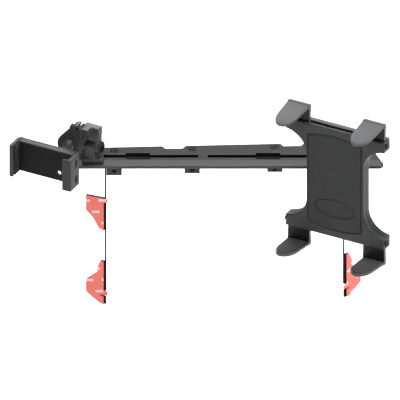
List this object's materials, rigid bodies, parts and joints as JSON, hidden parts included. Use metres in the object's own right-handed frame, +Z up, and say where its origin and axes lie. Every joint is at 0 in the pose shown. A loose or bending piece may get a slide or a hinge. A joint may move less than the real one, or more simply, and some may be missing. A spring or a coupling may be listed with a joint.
{
  "type": "dash tablet mount",
  "caption": "Dashboard rail with taped legs, carrying a small phone cradle at one end and a clawed tablet cradle at the other, each on a sliding ball-joint arm.",
  "frame": {"origin": "middle of the rail's flat underside", "axes": "+X along the rail to the driver's right, +Y away from the driver, +Z up"},
  "size_m": [0.4836, 0.1808, 0.3249],
  "materials": {
    "black_alloy": "satin black anodised, fine grained",
    "black_steel": "semi-gloss black powder coat",
    "screw_steel": "black oxide",
    "black_plastic": "moulded with a fine grain",
    "cast_black": "fine cast texture under black coat",
    "face_grain": "coarser leather-like grain",
    "rubber": "matt rubber",
    "foam_tape": "closed-cell foam",
    "red_liner": "thin waxy release film"
  },
  "bodies": {
    "rail_body": {"rail": "black_alloy", "clip_1": "black_plastic", "clip_2": "black_plastic", "clip_3": "black_plastic", "clip_4": "black_plastic", "clip_screws": "screw_steel", "clip_nuts": "screw_steel", "left_leg": "black_steel", "right_leg": "black_steel", "left_upper_tape": "foam_tape", "left_upper_liner": "red_liner", "left_lower_tape": "foam_tape", "left_lower_liner": "red_liner", "right_upper_tape": "foam_tape", "right_upper_liner": "red_liner", "right_lower_tape": "foam_tape", "right_lower_liner": "red_liner"},
    "phone_foot_body": {"phone_foot": "cast_black", "phone_slot_key": "screw_steel", "phone_pivot_bolt": "screw_steel", "phone_pivot_nut": "screw_steel"},
    "phone_arm_body": {"phone_arm": "cast_black", "phone_clamp_cap": "cast_black", "phone_clamp_bolt": "screw_steel"},
    "phone_ball_body": {"phone_ball": "cast_black", "phone_swivel_screw": "screw_steel"},
    "tablet_foot_body": {"tablet_foot": "cast_black", "tablet_slot_key": "screw_steel", "tablet_pivot_bolt": "screw_steel", "tablet_pivot_nut": "screw_steel"},
    "tablet_arm_body": {"tablet_arm": "cast_black", "tablet_clamp_cap": "cast_black", "tablet_clamp_bolt": "screw_steel"},
    "tablet_ball_body": {"tablet_ball": "cast_black", "tablet_swivel_screw": "screw_steel"},
    "phone_cradle_body": {"phone_body": "black_plastic", "phone_cover": "black_plastic", "phone_cover_screws": "screw_steel", "phone_left_grip": "rubber"},
    "phone_jaw_body": {"phone_jaw": "black_plastic", "phone_right_grip": "rubber"},
    "tablet_cradle_body": {"tablet_front_shell": "black_plastic", "tablet_rear_shell": "black_plastic", "tablet_face_pad": "face_grain", "tablet_shell_screws": "screw_steel", "claw_lock_screws": "screw_steel"},
    "upper_left_claw_body": {"upper_left_claw": "black_plastic", "upper_left_claw_pad": "rubber"},
    "upper_right_claw_body": {"upper_right_claw": "black_plastic", "upper_right_claw_pad": "rubber"},
    "lower_left_claw_body": {"lower_left_claw": "black_plastic", "lower_left_claw_pad": "rubber"},
    "lower_right_claw_body": {"lower_right_claw": "black_plastic", "lower_right_claw_pad": "rubber"}
  },
  "joints": [
    {"name": "phone_foot_slide", "type": "slide", "parent": "rail_body", "child": "phone_foot_body", "axis": [1, 0, 0], "range_m": [0, 0.08]},
    {"name": "phone_arm_tilt", "type": "hinge", "parent": "phone_foot_body", "child": "phone_arm_body", "pos_m": [-0.174, -0.004, 0.027], "axis": [0.8829, -0.4695, 0], "range_deg": [-20, 20]},
    {"name": "phone_ball_swivel", "type": "hinge", "parent": "phone_arm_body", "child": "phone_ball_body", "pos_m": [-0.20363, -0.028, 0.0424], "axis": [0, 0, 1], "range_deg": [-25, 25]},
    {"name": "phone_cradle_roll", "type": "hinge", "parent": "phone_ball_body", "child": "phone_cradle_body", "pos_m": [-0.20363, -0.028, 0.0424], "axis": [-0.4695, -0.8829, 0], "range_deg": [-90, 90]},
    {"name": "phone_jaw_slide", "type": "slide", "parent": "phone_cradle_body", "child": "phone_jaw_body", "axis": [0.8829, -0.4695, 0], "range_m": [0, 0.014], "stiffness_N_per_m": 250, "springref_m": -0.012},
    {"name": "tablet_foot_slide", "type": "slide", "parent": "rail_body", "child": "tablet_foot_body", "axis": [1, 0, 0], "range_m": [-0.06, 0.008]},
    {"name": "tablet_arm_tilt", "type": "hinge", "parent": "tablet_foot_body", "child": "tablet_arm_body", "pos_m": [0.146, -0.004, 0.027], "axis": [0.8829, -0.4695, 0], "range_deg": [-15, 15]},
    {"name": "tablet_ball_swivel", "type": "hinge", "parent": "tablet_arm_body", "child": "tablet_ball_body", "pos_m": [0.1505, -0.05645, 0.0235], "axis": [0, 0, 1], "range_deg": [-10, 25]},
    {"name": "tablet_cradle_roll", "type": "hinge", "parent": "tablet_ball_body", "child": "tablet_cradle_body", "pos_m": [0.1505, -0.05645, 0.0235], "axis": [-0.4695, -0.8829, 0], "range_deg": [-90, 90]},
    {"name": "upper_left_claw_slide", "type": "slide", "parent": "tablet_cradle_body", "child": "upper_left_claw_body", "axis": [0, 0, 1], "range_m": [-0.008, 0.02]},
    {"name": "upper_right_claw_slide", "type": "slide", "parent": "tablet_cradle_body", "child": "upper_right_claw_body", "axis": [0, 0, 1], "range_m": [-0.008, 0.02]},
    {"name": "lower_left_claw_slide", "type": "slide", "parent": "tablet_cradle_body", "child": "lower_left_claw_body", "axis": [0, 0, -1], "range_m": [-0.008, 0.02]},
    {"name": "lower_right_claw_slide", "type": "slide", "parent": "tablet_cradle_body", "child": "lower_right_claw_body", "axis": [0, 0, -1], "range_m": [-0.008, 0.02]}
  ]
}
